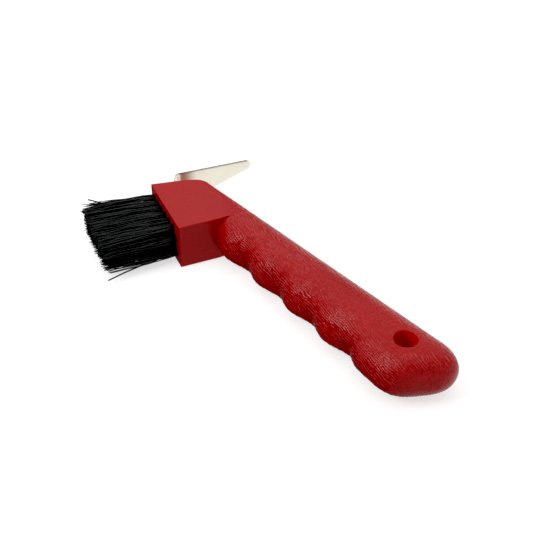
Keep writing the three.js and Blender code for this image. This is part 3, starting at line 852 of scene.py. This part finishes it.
def bristle_black():
    m, nt, b = material("bristle_black")
    co = nt.nodes.new("ShaderNodeTexCoord")
    n = node(nt, "ShaderNodeTexNoise", **{"Scale": 1100.0, "Detail": 2.0, "Roughness": 0.5})
    link(nt, co.outputs["Object"], n.inputs["Vector"])
    col = ramp(nt, n.outputs["Fac"], [(0.3, (0.0105, 0.0110, 0.0114)), (0.7, (0.0205, 0.0211, 0.0217))])
    link(nt, col.outputs["Color"], b.inputs["Base Color"])
    rough = nt.nodes.new("ShaderNodeMapRange")
    rough.inputs["To Min"].default_value, rough.inputs["To Max"].default_value = 0.30, 0.48
    link(nt, n.outputs["Fac"], rough.inputs["Value"])
    link(nt, rough.outputs["Result"], b.inputs["Roughness"])
    b.inputs["IOR"].default_value = 1.50
    b.inputs["Specular IOR Level"].default_value = 0.42
    return m


def drawn_wire():
    m, nt, b = material("drawn_wire")
    co = nt.nodes.new("ShaderNodeTexCoord")
    n = node(nt, "ShaderNodeTexNoise", **{"Scale": 2600.0, "Detail": 3.0, "Roughness": 0.6})
    link(nt, co.outputs["Object"], n.inputs["Vector"])
    col = ramp(nt, n.outputs["Fac"], [(0.3, (0.42, 0.40, 0.37)), (0.7, (0.55, 0.53, 0.50))])
    link(nt, col.outputs["Color"], b.inputs["Base Color"])
    b.inputs["Metallic"].default_value = 1.0
    rough = nt.nodes.new("ShaderNodeMapRange")
    rough.inputs["To Min"].default_value, rough.inputs["To Max"].default_value = 0.30, 0.55
    link(nt, n.outputs["Fac"], rough.inputs["Value"])
    link(nt, rough.outputs["Result"], b.inputs["Roughness"])
    return m


# ------------------------------------------------------------------- pieces
PLASTIC, STEEL, BRISTLE, WIRE = red_plastic(), plated_steel(), bristle_black(), drawn_wire()

body = build_body()
body.data.materials.clear()
body.data.materials.append(PLASTIC)
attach(body, "root"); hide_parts("handle_body")

blade = build_blade()
blade.data.materials.clear()
blade.data.materials.append(STEEL)
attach(blade, "root"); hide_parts("pick_blade")

for r, c, t, z in SITES:
    tuft = build_tuft(r, c, t, z)
    tuft.data.materials.append(BRISTLE)
    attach(tuft, "root")
    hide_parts(f"bristle_tuft_{r + 1}_{c + 1}")
    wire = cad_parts[f"tuft_anchor_{r + 1}_{c + 1}"]
    for s in wire.material_slots:
        s.material = WIRE

# -------------------------------------------------------------------- stage
scene = bpy.context.scene
scene.view_settings.view_transform = "Standard"
scene.view_settings.look = "None"
scene.view_settings.exposure = 0.0
scene.view_settings.use_curve_mapping = True
scene.view_settings.curve_mapping.black_level = (0.014, 0.014, 0.014)
scene.view_settings.curve_mapping.update()

fm = bpy.data.meshes.new("floor")
fm.from_pydata([(-3, -3, -0.00014), (3, -3, -0.00014), (3, 3, -0.00014), (-3, 3, -0.00014)], [], [(0, 1, 2, 3)])
floor = bpy.data.objects.new("floor", fm)
scene.collection.objects.link(floor)
mat, nt, b = material("floor_white")
fn = node(nt, "ShaderNodeTexNoise", **{"Scale": 3.0, "Detail": 2.0})
fr = ramp(nt, fn.outputs["Fac"], [(0.3, (0.49, 0.49, 0.49)), (0.7, (0.51, 0.51, 0.51))])
link(nt, fr.outputs["Color"], b.inputs["Base Color"])
b.inputs["Roughness"].default_value = 0.9
b.inputs["Specular IOR Level"].default_value = 0.1
b.inputs["Emission Color"].default_value = (1.0, 1.0, 1.0, 1)
b.inputs["Emission Strength"].default_value = 0.64
fm.materials.append(mat)
floor.visible_diffuse = False
floor.visible_glossy = False

world = bpy.data.worlds.new("studio")
world.use_nodes = True
scene.world = world
wt = world.node_tree
wc = wt.nodes.new("ShaderNodeTexCoord")
wd = wt.nodes.new("ShaderNodeVectorMath")
wd.operation = "DOT_PRODUCT"
wd.inputs[1].default_value = Vector((0.14, 0.91, -0.35)).normalized()
wt.links.new(wc.outputs["Generated"], wd.inputs[0])
wr = wt.nodes.new("ShaderNodeMapRange")
wr.interpolation_type = "SMOOTHSTEP"
wr.inputs["From Min"].default_value, wr.inputs["From Max"].default_value = 0.35, 0.78
wr.inputs["To Min"].default_value, wr.inputs["To Max"].default_value = 0.39, 0.97
wt.links.new(wd.outputs["Value"], wr.inputs["Value"])
wt.nodes["Background"].inputs["Color"].default_value = (1, 1, 1, 1)
we = wt.nodes.new("ShaderNodeVectorMath")
we.operation = "DOT_PRODUCT"
we.inputs[1].default_value = Vector((0.80, -0.10, -0.59)).normalized()
wt.links.new(wc.outputs["Generated"], we.inputs[0])
wf = wt.nodes.new("ShaderNodeMapRange")
wf.interpolation_type = "SMOOTHSTEP"
wf.inputs["From Min"].default_value, wf.inputs["From Max"].default_value = 0.30, 0.90
wf.inputs["To Min"].default_value, wf.inputs["To Max"].default_value = 0.0, 0.50
wt.links.new(we.outputs["Value"], wf.inputs["Value"])
ws = wt.nodes.new("ShaderNodeMath")
ws.operation = "ADD"
wt.links.new(wr.outputs["Result"], ws.inputs[0])
wt.links.new(wf.outputs["Result"], ws.inputs[1])
wu = wt.nodes.new("ShaderNodeVectorMath")
wu.operation = "DOT_PRODUCT"
wu.inputs[1].default_value = Vector((-0.22, -0.50, -0.84)).normalized()
wt.links.new(wc.outputs["Generated"], wu.inputs[0])
wl = wt.nodes.new("ShaderNodeMapRange")
wl.interpolation_type = "SMOOTHSTEP"
wl.inputs["From Min"].default_value, wl.inputs["From Max"].default_value = 0.10, 0.80
wl.inputs["To Min"].default_value, wl.inputs["To Max"].default_value = 0.0, 0.33
wt.links.new(wu.outputs["Value"], wl.inputs["Value"])
wm = wt.nodes.new("ShaderNodeMath")
wm.operation = "SUBTRACT"
wt.links.new(ws.outputs["Value"], wm.inputs[0])
wt.links.new(wl.outputs["Result"], wm.inputs[1])
wt.links.new(wm.outputs["Value"], wt.nodes["Background"].inputs["Strength"])


def area(name, at, look, size, power, size_y=None):
    d = bpy.data.lights.new(name, "AREA")
    d.energy, d.size = power, size
    if size_y:
        d.shape, d.size_y = "RECTANGLE", size_y
    o = bpy.data.objects.new(name, d)
    scene.collection.objects.link(o)
    o.location = at
    o.rotation_mode = "QUATERNION"
    o.rotation_quaternion = (Vector(look) - Vector(at)).to_track_quat("-Z", "Y")
    return o


area("overhead", (-0.38, 0.20, 0.85), (-0.38, 0.20, 0), 1.7, 7.7)
area("front", (-0.22, -0.54, 0.52), (0, 0, 0), 0.30, 2.2)

# camera, solved for the tool's own edges
cam = bpy.data.cameras.new("camera")
cam.sensor_width, cam.sensor_fit = 36.0, "HORIZONTAL"
cam.lens = 1000.0 * 36.0 / 533.0
co = bpy.data.objects.new("camera", cam)
scene.collection.objects.link(co)
az, el = math.radians(49.35), math.radians(37.9)
back = Vector((math.sin(az) * math.cos(el), -math.cos(az) * math.cos(el), math.sin(el)))
target = Vector(to_row((69.40, -1.01, 10.5)))
co.location = target + back * 0.41876
co.rotation_mode = "QUATERNION"
co.rotation_quaternion = (-back).to_track_quat("-Z", "Y")
cam.clip_start, cam.clip_end = 0.01, 20.0
scene.camera = co
